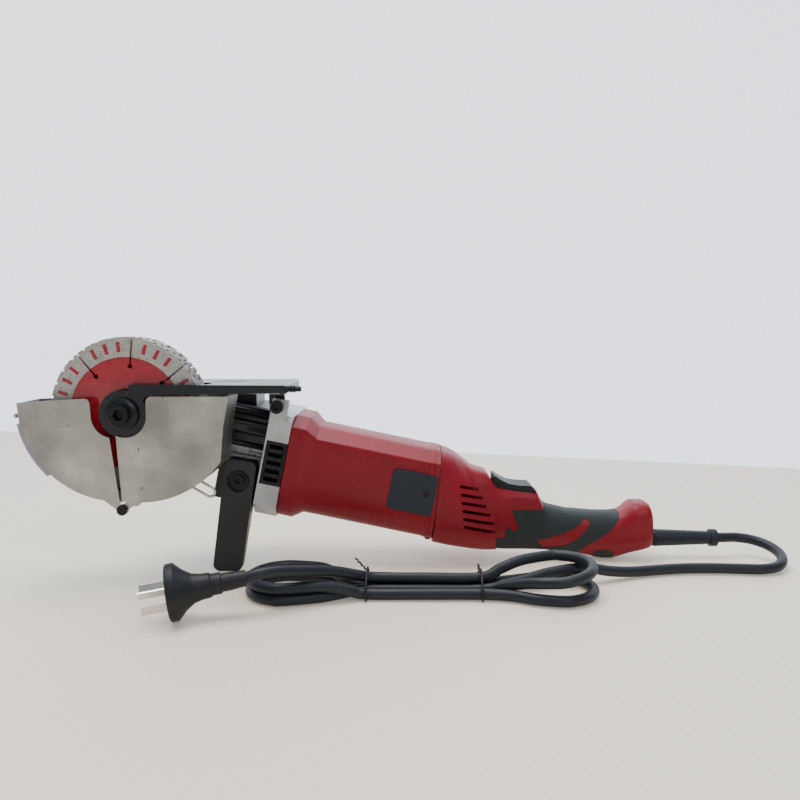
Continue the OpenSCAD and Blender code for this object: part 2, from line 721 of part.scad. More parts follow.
module motor_housing() color("firebrick") on_motor() difference() {
    union() {
        rotate([0, 90, 0]) linear_extrude(150) motor_section(motor_w, motor_h, 48);
        intersection() {
            rotate([0, 90, 0]) linear_extrude(30) motor_section(flange_w, flange_h, 58);
            rotate([90, 0, 0]) translate([0, 0, -50]) linear_extrude(100) polygon(flange_side);
            translate([0, 0, -50]) linear_extrude(100)
                polygon([[0, -45], [13, -45], [24, -38], [24, 38], [13, 45], [0, 45]]);
        }
    }
    translate([-1, 0, 0]) rotate([0, 90, 0]) cylinder(r = stator_r + fit, h = 126, $fn = 96);
    translate([120, 0, 0]) rotate([0, 90, 0]) cylinder(r = 9, h = 40);
    translate([128, 0, 0]) rotate([0, 90, 0]) cylinder(r = 11, h = 40);
    parting_cut();
    for (side = [-1, 1]) {
        translate([114, side * 43, 4]) rotate([90, 0, 0]) translate([0, 0, -3.6])
            linear_extrude(7.2) rounded_square(40.4, 36.4, 4.2);
        translate([112, side * 38, 0]) cube([16, 12, 11], center = true);
        translate([126, side * 30, 5]) rotate([side * 90, 0, 0]) translate([0, 0, -30])
            cylinder(r = 1.5, h = 60, $fn = 24);
    }
}

// Everything behind the leaning plane where the rear shells start
module parting_cut() translate([136.7, -60, 0]) rotate([0, -5.7, 0]) translate([0, 0, -80])
    cube([80, 120, 160]);

module stator_core() color("slategray") on_armature(30) difference() {
    ring(stator_r - fit, 25, 60, $fn = 96);
    for (a = [45, 135, 225, 315]) rotate(a - 9) translate([0, 0, -1])
        rotate_extrude(angle = 18) translate([26.5, 0]) square([8, 62]);
}

module stator_coils() color("peru") for (base = [0, 180]) on_armature(30) rotate(base) {
    for (z = [-9, 61]) translate([0, 0, z]) rotate(-53)
        rotate_extrude(angle = 106) translate([27, 0]) square([7, 8]);
    for (a = [-51, 39]) rotate(a) translate([0, 0, -2]) rotate_extrude(angle = 12)
        translate([27.4, 0]) square([6.2, 64]);
}

module armature_shaft() color("gainsboro") {
    on_armature(cross_u + 16) cylinder(r = 4, h = 16);
    on_armature(-64) cylinder(r = journal_r, h = 176);
    on_armature(112 - e) cylinder(r = 4, h = 24);
}

module armature_core() color("slategray") on_armature(32) difference() {
    union() {
        translate([0, 0, 6]) cylinder(r = 24.2, h = 46);
        cylinder(r = 20, h = 58);
    }
    translate([0, 0, -1]) cylinder(r = journal_r + fit, h = 80);
    for (i = [0:11]) rotate(30 * i) translate([22.4, -0.8, 5]) cube([4, 1.6, 48]);
}

module commutator() color("peru") on_armature(98) difference() {
    cylinder(r = 14.6, h = 13.8);
    translate([0, 0, -1]) cylinder(r = journal_r + fit, h = 30);
    for (i = [0:23]) rotate(15 * i) translate([14, -0.25, 2]) cube([2, 0.5, 14]);
}

module cooling_fan() color("dimgray") on_armature(3) difference() {
    union() {
        cylinder(r = 35, h = 2.2);
        cylinder(r = 10, h = 12);
        for (i = [0:10]) rotate(360 / 11 * i) translate([14, -0.8, 0]) cube([19, 1.6, 12]);
    }
    translate([0, 0, -1]) cylinder(r = journal_r + fit, h = 20);
}

// Brush gear, half a turn apart on the commutator
brush_u = 105;
module brush_holders() color("goldenrod") on_motor() for (turn = [0, 180])
    translate([brush_u, 0, 0]) rotate([turn, 0, 0]) difference() {
        translate([-5, 16, -4]) cube([10, 20.6, 8]);
        translate([-3.1, 15, -2.6]) cube([6.2, 20, 5.2]);
    }

module carbon_brushes() color("black") on_motor() for (turn = [0, 180])
    translate([brush_u, 0, 0]) rotate([turn, 0, 0]) translate([-3, 14.7, -2.5]) cube([6, 14, 5]);

module brush_covers() color("darkslategray") on_motor() for (side = [-1, 1])
    translate([114, side * 40.9, 4]) rotate([90, 0, 0]) difference() {
        translate([0, 0, -1.4]) linear_extrude(2.8) rounded_square(40, 36, 4);
        translate([12, 1, -5]) cylinder(r = 1.6, h = 10, $fn = 24);
        translate([12, 1, side > 0 ? -5 : -0.2]) cylinder(r = 3.1, h = 5.2, $fn = 32);
    }

module brush_screws() color("silver") on_motor() for (side = [-1, 1])
    translate([126, side * 38, 5]) rotate([side * -90, 0, 0]) translate([0, 0, -6])
        screw(2.8, 1.4, 1.45, 8.8);

// ---------- rear shells ----------

module rear_body(d) intersection() {
    side_slab(60, -60) polygon(inset(shell_side, d));
    linear_extrude(200) polygon(concat(
        [for (p = shell_plan) [p[0] - (p[0] > 230 ? d : 0), -p[1] + d]],
        [for (i = [len(shell_plan) - 1:-1:0]) let (p = shell_plan[i])
            [p[0] - (p[0] > 230 ? d : 0), p[1] - d]]
    ));
}

module front_limit() translate([motor_x, 0, motor_z]) rotate([0, tilt, 0]) difference() {
    translate([0, -60, -120]) cube([400, 120, 240]);
    translate([136.7, -60, 0]) rotate([0, -5.7, 0]) translate([-400, -1, -200]) cube([400.02, 122, 400]);
}

module grip_zone(grow) {
    side_slab(60, -60) difference() {
        polygon(inset(grip_side, grow));
        polygon(inset(grip_stripe, grow));
    }
    side_slab(60, -60) polygon(inset(heel_patch, -grow));
}

shell_screw_places = [[64, 24], [76, 66], [128, 14], [163, 14], [212, 42]];

module shell(side) difference() {
    intersection() {
        rear_body(0);
        front_limit();
        translate([-100, side > 0 ? 0 : -100, -10]) cube([500, 100, 200]);
    }
    difference() {
        rear_body(shell_wall);
        for (p = shell_screw_places) translate([p[0], -60, p[1]]) rotate([-90, 0, 0])
            cylinder(r = 4, h = 120, $fn = 32);
    }
    difference() {
        rear_body(-2);
        rear_body(skin);
        translate([-100, -100, -10]) cube([170, 200, 200]);
        bare_zone();
    }
    // Ends of the hollow: open towards the motor, and for the strain relief
    translate([motor_x, 0, motor_z]) rotate([0, tilt, 0]) translate([125, 0, 0]) rotate([0, 90, 0])
        cylinder(r = stator_r, h = 22, $fn = 96);
    translate([228, 0, relief_z]) rotate([0, 90, 0]) cylinder(r = 7.6, h = 20);
    // Opening and pivot of the trigger
    translate([84.2, -trigger_half - 0.5, 40]) cube([39.5, 2 * trigger_half + 1, 60]);
    translate([trigger_x, 40, trigger_z]) rotate([90, 0, 0]) cylinder(r = 2.45, h = 80);
    for (i = [0:5]) vent_slot(i);
    for (p = shell_screw_places) translate([p[0], -6, p[1]]) rotate([-90, 0, 0])
        cylinder(r = 1.5, h = 60, $fn = 24);
    for (p = shell_screw_places) translate([p[0], screw_seat(p[0]), p[1]]) rotate([-90, 0, 0])
        cylinder(r = 3, h = 60, $fn = 32);
}

// Where no rubber lies
module bare_zone() difference() {
    translate([-100, -100, -20]) cube([500, 200, 200]);
    grip_zone(0);
}

function screw_seat(x) = lookup(x, shell_plan) - 4;

// Six air slots, each longer than the one above
module vent_slot(i) translate([motor_x, 0, motor_z]) rotate([0, tilt, 0])
    translate([154 + 2.1 * i, -50, 14.2 - 6.7 * i]) rotate([0, 3, 0]) cube([18.5 + 2.8 * i, 100, 2.8]);

module near_rear_shell() color("firebrick") on_table() shell(-1);

module far_rear_shell() color("crimson") on_table() shell(1);

module handle_grips() color("darkslategray") on_table() difference() {
    intersection() {
        rear_body(0);
        grip_zone(-0.1);
    }
    rear_body(skin);
    translate([84, -trigger_half - 0.6, 40]) cube([40, 2 * trigger_half + 1.2, 60]);
    for (p = shell_screw_places) translate([p[0], 0, p[1]]) rotate([-90, 0, 0])
        cylinder(r = 3.1, h = 60, $fn = 32);
}

module shell_screws() color("dimgray") on_table() for (p = shell_screw_places)
    translate([p[0], -4, p[1]]) rotate([-90, 0, 0]) screw(2.7, 1.8, 1.4, screw_seat(p[0]) + 4);

// ---------- switch and trigger ----------

module switch_body() color("black") on_table() {
    translate([88, -10, 28]) cube([34, 20, 20]);
    translate([112, 0, 47]) cylinder(r = 2.5, h = 4, $fn = 32);
}

trigger_side = [
    [84.7, 76.6], [86, 78.6], [92, 74.6], [99, 71.3], [108, 69.7], [118.5, 69.4], [121.4, 67.2],
    [122.6, 60], [122.4, 56], [94, 58.5], [85.6, 64]
];

module trigger() color("darkslategray") on_table() {
    side_slab(trigger_half, -trigger_half) polygon(trigger_side);
    translate([trigger_x, 16, trigger_z]) rotate([90, 0, 0]) cylinder(r = 2.4, h = 32, $fn = 32);
}

module cord_clamp() color("black") on_table() difference() {
    translate([205, -9, 10]) cube([6, 18, 16]);
    translate([204, 0, relief_z]) rotate([0, 90, 0]) cylinder(r = cord_d / 2 + fit, h = 8);
}

module strain_relief() color("darkslategray") on_table() translate([0, 0, relief_z])
    rotate([0, 90, 0]) {
        translate([0, 0, 228]) cylinder(r = 7.5, h = 8);
        translate([0, 0, 235.5]) cylinder(r1 = 8, r2 = 6, h = 52);
        translate([0, 0, 287]) cylinder(r = 8, h = 6);
    }

// ---------- side handle ----------

module on_side_handle() on_table() translate([bolt_x, 0, bolt_z]) rotate([0, side_lean, 0])
    children();

// Height, in the handle's own frame, of a foot corner that just rests on the table
function foot_z(x) = (6 - bolt_z + x * sin(side_lean)) / cos(side_lean);

module side_handle() color("black") on_side_handle() difference() {
    intersection() {
        rotate([90, 0, 0]) linear_extrude(60) hull() {
            for (x = [-1, 1]) translate([x * (side_w / 2 - 6), 12]) circle(6, $fn = 32);
            for (x = [-1, 1]) let (foot_x = x * (side_w / 2 - 7))
                translate([foot_x, foot_z(foot_x)]) circle(6, $fn = 32);
        }
        translate([-40, 0, 0]) rotate([90, 0, 90]) linear_extrude(80) polygon([
            [-side_back, 40], [-side_back, -20], [-side_back - 8, -90],
            [-side_back - side_t, -90], [-side_back - side_t, 40]
        ]);
    }
    rotate([90, 0, 0]) cylinder(r = 4 + fit, h = 60);
    translate([0, -side_back - side_t + 3.2, 0]) rotate([90, 0, 0]) cylinder(r = 9.8, h = 10);
}

module handle_bolt() color("dimgray") on_side_handle() rotate([90, 0, 0]) {
    translate([0, 0, 24]) cylinder(r = 3.95, h = side_t + 4);
    translate([0, 0, side_back + side_t - 3.2]) difference() {
        union() {
            cylinder(r = 8, h = 1.2);
            cylinder(r = 5, h = 4);
        }
        translate([0, 0, 1.5]) hex(5, 4);
    }
}

// ---------- cord and plug ----------

// A tube along a route: one ring of corners at each point, square to the route there
function heading(p, i, first, last) =
    i == 0 ? first : i == len(p) - 1 ? last : unit(p[i + 1] - p[i - 1]);
function ring_at(c, t, r) =
    let (a = unit(cross([0, 0, 1], t)), b = cross(t, a))
    [for (k = [0:cord_sides - 1]) let (w = 360 * (k + 0.5) / cord_sides) c + r * (cos(w) * a + sin(w) * b)];
function curve(p, i, s) =
    let (a = p[max(i - 1, 0)], b = p[i], c = p[i + 1], d = p[min(i + 2, len(p) - 1)])
    0.5 * (2 * b + (c - a) * s + (2 * a - 5 * b + 4 * c - d) * s * s
        + (3 * b - a - 3 * c + d) * s * s * s);
function smooth_route(p, parts) = concat(
    [for (i = [0:len(p) - 2], k = [0:parts - 1]) curve(p, i, k / parts)], [p[len(p) - 1]]
);

module tube(route, parts, first, end) {
    path = smooth_route(route, parts);
    n = cord_sides;
    last = len(path) - 1;
    polyhedron(
        points = [for (i = [0:last]) each ring_at(path[i], heading(path, i, first, end), cord_d / 2)],
        faces = concat(
            [[for (k = [0:n - 1]) k], [for (k = [n - 1:-1:0]) last * n + k]],
            [for (i = [0:last - 1], k = [0:n - 1])
                [i * n + k, (i + 1) * n + k, (i + 1) * n + (k + 1) % n, i * n + (k + 1) % n]]
        )
    );
}

module cord_lead() color("darkslategray") on_table() {
    into_lobe = unit([hank_right - lead_end[0], hank_mid - lead_end[1]]);
    tube(lead_route, 2, [1, 0, 0], [into_lobe[0], into_lobe[1], 0]);
    from_plug = [cos(plug_pitch) * cos(plug_yaw), cos(plug_pitch) * sin(plug_yaw), sin(plug_pitch)];
    tube(tail_route, 1, from_plug, [1, 0, 0]);
}

module hank_outline() {
    translate([hank_right, hank_mid]) circle(35);
    translate([bar_left, hank_mid - hank_half]) square([hank_right - bar_left, 2 * hank_half]);
}

module cord_hank() color("darkslategray") on_table() {
    linear_extrude(hank_h) hank_outline();
    linear_extrude(lobe_h) {
        translate([hank_left, hank_mid]) circle(34);
        translate([hank_left, hank_mid - hank_half]) square([60, 2 * hank_half]);
    }
}

module cord_ties() color("black") on_table() for (x = [-26, 65])
    translate([x - 1.2, hank_mid, 0]) rotate([90, 0, 90]) linear_extrude(2.4) difference() {
        translate([-hank_half - 1, 0]) square([2 * hank_half + 2, hank_h + 1]);
        translate([-hank_half, -1]) square([2 * hank_half, hank_h + 1]);
    }

// The plug's axis runs from its face towards the cord
module on_plug() on_table() translate([plug_x, plug_y, plug_z])
    rotate([0, 0, plug_yaw]) rotate([0, 90 - plug_pitch, 0]) children();

module plug_body() color("black") on_plug() rotate_extrude() polygon([
    [0, 0], [plug_d / 2 - 1, 0], [plug_d / 2, 1], [plug_d / 2, 6], [plug_d / 2 - 1, 7], [15, 12],
    [11, 18], [9.6, 24], [9.2, 30], [8, 32], [8, 38], [6.8, 39], [6.8, 45], [6, plug_l], [0, plug_l]
]);

// Two slanted flat pins and an upright earth pin
module plug_pins() color("silver") on_plug() for (pin = [[0, 10, 0], [120, 7.9, 30], [240, 7.9, -30]])
    rotate(pin[0]) translate([pin[1], 0, -20]) rotate(pin[2]) translate([-3.1, -0.8, 0])
        cube([6.2, 1.6, 20]);

blade_1();
blade_2();
blade_3();
blade_4();
blade_5();
spindle();
spindle_bolt();
outer_flange();
inner_flange();
blade_spacers();
spindle_gear();
drive_gear();
cross_shaft();
bevel_gear();
bevel_pinion();
armature_shaft();
armature_core();
commutator();
cooling_fan();
gear_bearings();
motor_bearings();
gear_housing();
transfer_case();
transfer_cover();
bearing_flange();
vent_grilles();
lug_bolt();
base_plate();
support_arm();
arm_screws();
hose_barb();
fixed_guard();
swing_guard();
guard_pin();
dust_door();
door_pin();
door_catch();
wire_loop();
motor_housing();
stator_core();
stator_coils();
brush_covers();
brush_screws();
brush_holders();
carbon_brushes();
near_rear_shell();
far_rear_shell();
handle_grips();
shell_screws();
switch_body();
trigger();
cord_clamp();
strain_relief();
side_handle();
handle_bolt();
cord_lead();
cord_hank();
cord_ties();
plug_body();
plug_pins();
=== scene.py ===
# %% [markdown]
# # A wall chaser, finished in Blender
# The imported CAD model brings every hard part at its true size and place. This lesson adds what CAD
# leaves plain: the camera, the cord, the soft-edged mouldings, the finishes and the light.

# %% Load the frame
import bpy, bmesh, math
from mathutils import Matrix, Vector


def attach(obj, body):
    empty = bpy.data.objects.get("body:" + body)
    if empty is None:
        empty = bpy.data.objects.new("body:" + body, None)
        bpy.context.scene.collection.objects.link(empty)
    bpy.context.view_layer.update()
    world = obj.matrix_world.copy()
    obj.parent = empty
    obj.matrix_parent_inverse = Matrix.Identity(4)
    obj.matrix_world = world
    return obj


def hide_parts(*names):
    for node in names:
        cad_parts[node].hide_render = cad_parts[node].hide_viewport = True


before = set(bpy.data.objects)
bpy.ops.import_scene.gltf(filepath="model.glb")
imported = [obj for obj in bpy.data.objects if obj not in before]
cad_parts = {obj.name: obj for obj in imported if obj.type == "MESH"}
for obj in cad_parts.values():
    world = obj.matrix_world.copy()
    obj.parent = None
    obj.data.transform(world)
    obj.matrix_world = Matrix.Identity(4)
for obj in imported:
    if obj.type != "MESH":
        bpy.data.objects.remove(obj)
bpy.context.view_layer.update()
scene = bpy.context.scene

# %% [markdown]
# The drawing of the tool was made around a point under the motor, in millimetres. One small function
# turns a place in that drawing into the frame, so later numbers can be read off the drawing.

# %% Places in the drawing
frame_x, frame_y = 41.47, 23.5


def place(x, y, z):
    return Vector(((x + frame_x) / 1000, (y + frame_y) / 1000, z / 1000))


tilt = math.radians(11.7)
motor_front = Vector((-101.5, 0, 88.8))
along = Vector((math.cos(tilt), 0, -math.sin(tilt)))
upward = Vector((math.sin(tilt), 0, math.cos(tilt)))


def on_motor(u, y, v):
    p = motor_front + along * u + upward * v
    return place(p.x, y, p.z)


# %% [markdown]
# ## Camera
# The tool is seen square from the side of the discs, from a little above. A camera is a place, a
# pitch and a lens; a slightly wide lens close by gives strong perspective.

# %% Camera
camera = bpy.data.objects.new("camera", bpy.data.cameras.new("camera"))
scene.collection.objects.link(camera)
look_down, look_left = 5.51, 0.39
camera.data.sensor_width = 36
camera.data.lens = 34.4
camera.location = place(4.4, -697.5, 213.6)
camera.rotation_euler = (math.radians(90 - look_down), 0, math.radians(look_left))
scene.camera = camera

# %% [markdown]
# ## Cord
# The cord is one length of rubber-sheathed cable. It leaves the strain relief, turns back along the
# table, makes two flat turns as a hank held by two wire ties, and ends in the plug. Simulating a
# stiff cable is slow and hard to steer, so the route is laid through chosen points and
# smoothed: each strand keeps a cable's width from the next, and the turns lie on each other.

# %% Smooth routes
def smooth(points, parts):
    """Points on a smooth curve through the given ones."""
    p = [Vector(q) for q in points]
    out = []
    for i in range(len(p) - 1):
        a, b, c, d = p[max(i - 1, 0)], p[i], p[i + 1], p[min(i + 2, len(p) - 1)]
        for k in range(parts):
            s = k / parts
            out.append(0.5 * (2 * b + (c - a) * s + (2 * a - 5 * b + 4 * c - d) * s ** 2
                              + (3 * b - a - 3 * c + d) * s ** 3))
    return out + [p[-1]]


def tube(name, points, radius, body):
    """A round bar whose middle follows the points.

    It is drawn as a bevelled curve and kept as a mesh, whose box can be measured.
    """
    curve = bpy.data.curves.new(name, "CURVE")
    curve.dimensions = "3D"
    curve.bevel_depth = radius
    curve.bevel_resolution = 5
    curve.use_fill_caps = True
    spline = curve.splines.new("POLY")
    spline.points.add(len(points) - 1)
    for i, q in enumerate(points):
        spline.points[i].co = (*q, 1)
    line = bpy.data.objects.new(name + "_line", curve)
    scene.collection.objects.link(line)
    graph = bpy.context.evaluated_depsgraph_get()
    mesh = bpy.data.meshes.new_from_object(line.evaluated_get(graph))
    bpy.data.objects.remove(line)
    bpy.data.curves.remove(curve)
    mesh.name = name
    obj = bpy.data.objects.new(name, mesh)
    scene.collection.objects.link(obj)
    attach(obj, body)
    return obj


# %% Route of the cord
cord_d = 9
hank_y = -101
turn_left, turn_right = -90, 125
turn_steps = 9


def turn(x, side, radius, from_offset, to_offset, z_in, z_top, z_out):
    """A U-turn of the hank: side is 1 at the right end, -1 at the left."""
    sweep = 1 if from_offset < to_offset else -1
    out = []
    for i in range(turn_steps + 1):
        a = -math.pi / 2 + math.pi * i / turn_steps
        lift = math.sin(math.pi * i / turn_steps)
        z = z_in + (z_out - z_in) * i / turn_steps + (z_top - (z_in + z_out) / 2) * lift
        out.append((x + side * radius * math.cos(a), hank_y + sweep * radius * math.sin(a), z))
    return out


lead = [
    (293, 0, 18), (300, 0.4, 18), (307, 1.8, 17.8), (313, 3, 17.4), (324.6, 0.4, 16.4),
    (334.1, -6.8, 14.6), (339.6, -17.4, 12.2), (340.1, -29.3, 9.6), (335.5, -40.3, 7.2),
    (326.8, -48.3, 5.4), (313, -52, 4.7), (295, -51, 4.7), (272, -49.5, 4.7), (248, -50, 4.7),
    (224, -54, 4.7), (200, -61, 5.2), (178, -68.5, 8), (162, -74, 12), (152.3, -78.9, 14)
]
strand_1 = [(140, -82.5, 14.2), (120, -88, 12.5), (96, -94, 8), (65, -96.3, 4.6), (20, -96.3, 4.6),
            (-26, -96.3, 4.6), (-40, -93.5, 7.5), (-50, -88.5, 11), (-60, -81, 13.4),
            (-70, -75.5, 13.6)]
left_1 = turn(turn_left, -1, 29, 1, -1, 13.6, 13.6, 13.6)
strand_2 = [(-60, -124, 13.6), (-40, -118, 8.5), (-26, -115.2, 4.6), (20, -115.2, 4.6),
            (65, -115.2, 4.6), (88, -119, 4.6), (106, -127, 4.6)]
right_1 = turn(turn_right, 1, 30, -1, 1, 4.6, 4.6, 4.6)
strand_3 = [(104, -77.5, 4.6), (88, -83, 4.6), (65, -86.8, 4.6), (20, -86.8, 4.6),
            (-26, -86.8, 4.6), (-48, -82, 4.6), (-68, -75, 4.6)]
left_2 = turn(turn_left, -1, 29, 1, -1, 4.6, 4.6, 4.6)
strand_4 = [(-60, -122, 4.6), (-40, -110, 4.6), (-26, -105.7, 4.6), (20, -105.7, 4.6),
            (65, -105.7, 5), (84, -110, 9.5), (98, -118, 14), (110, -126, 17)]
right_2 = turn(turn_right, 1, 28.5, -1, 1, 18.5, 23.3, 22.8)
strand_5 = [(100, -82, 21.5), (82, -90, 17), (65, -100, 12.8), (20, -101, 12.8),
            (-10, -101, 12.9), (-26, -102.5, 14.2), (-48, -113, 21.4), (-60, -119.5, 24.6),
            (-75, -128.5, 27.6), (-90, -137, 30), (-103, -143.8, 30.3), (-113.4, -146.4, 27.86)]
route = [place(*p) for p in smooth(
    lead + strand_1 + left_1 + strand_2 + right_1 + strand_3 + left_2 + strand_4 + right_2
    + strand_5, 6)]
cord = tube("cord", route, cord_d / 2000, "tool_body")
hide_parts("cord_lead", "cord_hank")

# %% [markdown]
# ## Shader maths as plain expressions
# Finishes are sums and products of noise patterns. Linking nodes by hand hides the idea, so one
# small class wraps a socket and lets Python's own operators add the Math nodes.

# %% A wrapped socket
class Value:
    def __init__(self, finish, socket):
        self.finish, self.socket = finish, socket

    def maths(self, operation, other, turned=False):
        pair = (other, self) if turned else (self, other)
        return self.finish.node("ShaderNodeMath", {"operation": operation}, {0: pair[0], 1: pair[1]})

    def __add__(self, other): return self.maths("ADD", other)
    def __radd__(self, other): return self.maths("ADD", other, True)
    def __sub__(self, other): return self.maths("SUBTRACT", other)
    def __rsub__(self, other): return self.maths("SUBTRACT", other, True)
    def __mul__(self, other): return self.maths("MULTIPLY", other)
    def __rmul__(self, other): return self.maths("MULTIPLY", other, True)
    def __pow__(self, other): return self.maths("POWER", other)

    def step(self, low, high):
        """0 below low, 1 above high, and smooth between."""
        return self.finish.node("ShaderNodeMapRange", {"interpolation_type": "SMOOTHSTEP"},
                                {"Value": self, "From Min": low, "From Max": high})


class Finish:
    """A material on one Principled shader."""

    def __init__(self, name, color, roughness, metallic=0.0, coat=0.0, specular=0.5):
        self.material = bpy.data.materials.new(name)
        self.material.use_nodes = True
        self.tree = self.material.node_tree
        self.shader = self.tree.nodes["Principled BSDF"]
        self.set("Base Color", (*color, 1))
        self.set("Roughness", roughness)
        self.set("Metallic", metallic)
        self.set("Coat Weight", coat)
        self.set("Specular IOR Level", specular)
        self.where = self.node("ShaderNodeTexCoord", {}, {}, "Object")

    def set(self, socket, value):
        if isinstance(value, Value):
            self.tree.links.new(value.socket, self.shader.inputs[socket])
        else:
            self.shader.inputs[socket].default_value = value

    def node(self, kind, settings, sockets, output=0):
        node = self.tree.nodes.new(kind)
        for key, value in settings.items():
            setattr(node, key, value)
        for key, value in sockets.items():
            if isinstance(value, Value):
                self.tree.links.new(value.socket, node.inputs[key])
            else:
                node.inputs[key].default_value = value
        return Value(self, node.outputs[output])

    def noise(self, size_mm, detail, stretch=(1, 1, 1), roughness=0.5, seed=0.0):
        """Cloudy noise whose features are about size_mm across."""
        spot = self.node("ShaderNodeMapping", {}, {
            "Vector": self.where, "Scale": tuple(s * 1000 / size_mm for s in stretch),
            "Location": (seed, seed * 0.7, seed * 1.3)})
        return self.node("ShaderNodeTexNoise", {}, {
            "Vector": spot, "Scale": 1.0, "Detail": detail, "Roughness": roughness}, "Fac")

    def mix(self, mask, first, second):
        """The first colour where the mask is 0, the second where it is 1."""
        def color(c):
            return c if isinstance(c, Value) else (*c[:3], 1)
        return self.node("ShaderNodeMix", {"data_type": "RGBA"},
                         {0: mask, 6: color(first), 7: color(second)}, 2)

    def part(self, axis):
        """One coordinate, in metres."""
        return self.node("ShaderNodeSeparateXYZ", {}, {"Vector": self.where}, axis)

    def bump(self, height, depth_mm, strength):
        self.set("Normal", self.node("ShaderNodeBump", {}, {
            "Height": height, "Distance": depth_mm / 1000, "Strength": strength}))


# %% [markdown]
# ## Finishes
# Each real finish is described by what makes it recognisable: moulded plastic has a fine spark-eroded
# grain, castings a sandy one, sheet steel long soft stains and short bright scratches. A finish is a
# function that takes only what differs between its uses.

# %% Moulded plastics and rubbers
def moulded(name, color, roughness, grain_mm=0.5, depth_mm=0.02, dust=0.12):
    f = Finish(name, color, roughness, specular=0.3)
    wide = f.noise(38, 4, seed=2.1)
    fine = f.noise(grain_mm, 2, seed=5.3)
    smudge = wide.step(0.42, 0.72)
    lighter = tuple(min(1, c * 1.35 + 0.005) for c in color)
    f.set("Base Color", f.mix(smudge * dust * 3 + fine * 0.08, color, lighter))
    f.set("Roughness", roughness + (wide - 0.5) * 0.22 + (fine - 0.5) * 0.1)
    f.bump(fine, depth_mm, 0.6)
    return f


red = moulded("satin_red", (0.205, 0.0015, 0.010), 0.42)
cap_grey = moulded("blue_grey_cap", (0.013, 0.019, 0.028), 0.5)
trigger_grey = moulded("trigger_grey", (0.008, 0.011, 0.012), 0.5)
black_moulding = moulded("black_moulding", (0.006, 0.007, 0.009), 0.5)
rubber = moulded("grip_rubber", (0.017, 0.024, 0.026), 0.62, 0.9, 0.05, 0.2)
sheath = moulded("cord_sheath", (0.009, 0.012, 0.018), 0.46, 1.4, 0.03, 0.2)
plug_black = moulded("plug_black", (0.006, 0.0075, 0.010), 0.5, 0.8, 0.03)
lilac = moulded("lilac_strip", (0.30, 0.28, 0.40), 0.45)

# %% [markdown]
# Castings get their sandy grain from fine noise in the bump. Dark castings have thin paint, so a
# second pattern lets dull metal through in a few places.

# %% Castings and painted steel
def casting(name, color, roughness, metallic, grain_mm, depth_mm, worn=0.0):
    f = Finish(name, color, roughness, metallic, specular=0.5)
    grain = f.noise(grain_mm, 3, roughness=0.7)
    broad = f.noise(22, 4, seed=3.7)
    darker = tuple(c * 0.72 for c in color)
    tone = f.mix(broad.step(0.35, 0.7) * 0.8, color, darker)
    if worn:
        rub = f.noise(5, 5, roughness=0.75, seed=8.2).step(0.62, 0.72) * worn
        tone = f.mix(rub, tone, (0.35, 0.35, 0.36))
        f.set("Metallic", metallic + rub * (1 - metallic))
    f.tone = tone
    f.set("Base Color", tone)
    f.set("Roughness", roughness + (grain - 0.5) * 0.3 + (broad - 0.5) * 0.15)
    f.bump(grain, depth_mm, 0.7)
    return f


def above_axis(f):
    """Height above the motor's tilted axis, and distance from that axis, in metres."""
    x, z = f.part(0) - on_motor(0, 0, 0).x, f.part(2) - on_motor(0, 0, 0).z
    y = f.part(1) - frame_y / 1000
    height = x * math.sin(tilt) + z * math.cos(tilt)
    return height, (y * y + height * height) ** 0.5


bare_casting = casting("sandblasted_alloy", (0.50, 0.51, 0.52), 0.42, 0.75, 0.8, 0.06)
collar_casting = casting("collar_alloy", (0.46, 0.47, 0.48), 0.42, 0.7, 0.8, 0.06)
# Painted shade: the collar's inner surfaces, nearer than about 39 mm to the motor axis, are coloured
# near-black to stand in for the shade behind the vent grilles.
painted_shade_radius = above_axis(collar_casting)[1]
collar_casting.set("Base Color", collar_casting.mix(
    painted_shade_radius.step(0.0385, 0.0405), (0.012, 0.013, 0.014), collar_casting.tone))
dark_casting = casting("black_casting", (0.010, 0.012, 0.015), 0.42, 0.2, 0.9, 0.05, 0.25)
head_casting = casting("head_casting", (0.014, 0.016, 0.020), 0.42, 0.2, 0.9, 0.05, 0.2)
bare = 1 - above_axis(head_casting)[0].step(0.0115, 0.0135)
bare = bare * above_axis(head_casting)[0].step(-0.004, -0.002)
bare = bare * head_casting.noise(7, 4, roughness=0.7, seed=2.9).step(0.34, 0.5)
head_casting.set("Base Color", head_casting.mix(bare * 0.75, head_casting.tone, (0.34, 0.345, 0.35)))
handle_paint = casting("handle_paint", (0.008, 0.010, 0.012), 0.5, 0.0, 0.7, 0.03, 0.05)
plate_paint = casting("plate_paint", (0.012, 0.014, 0.018), 0.3, 0.3, 0.8, 0.02, 0.15)
# A bright bare-metal finish for bevels: painted highlights along the edges of the plate and the arm.
edge_highlight_finish = casting("painted_edge_highlight", (0.60, 0.62, 0.65), 0.3, 0.8, 0.5, 0.02)
black_oxide = casting("black_oxide", (0.012, 0.014, 0.017), 0.38, 0.6, 0.6, 0.02)
iron = casting("laminated_iron", (0.20, 0.21, 0.23), 0.5, 0.7, 0.7, 0.03)

# %% [markdown]
# Sheet steel with a nickel-like satin: cloudy stains that change the gloss, short scratches made by
# stretching noise very thin in two directions, and rare dark dings.

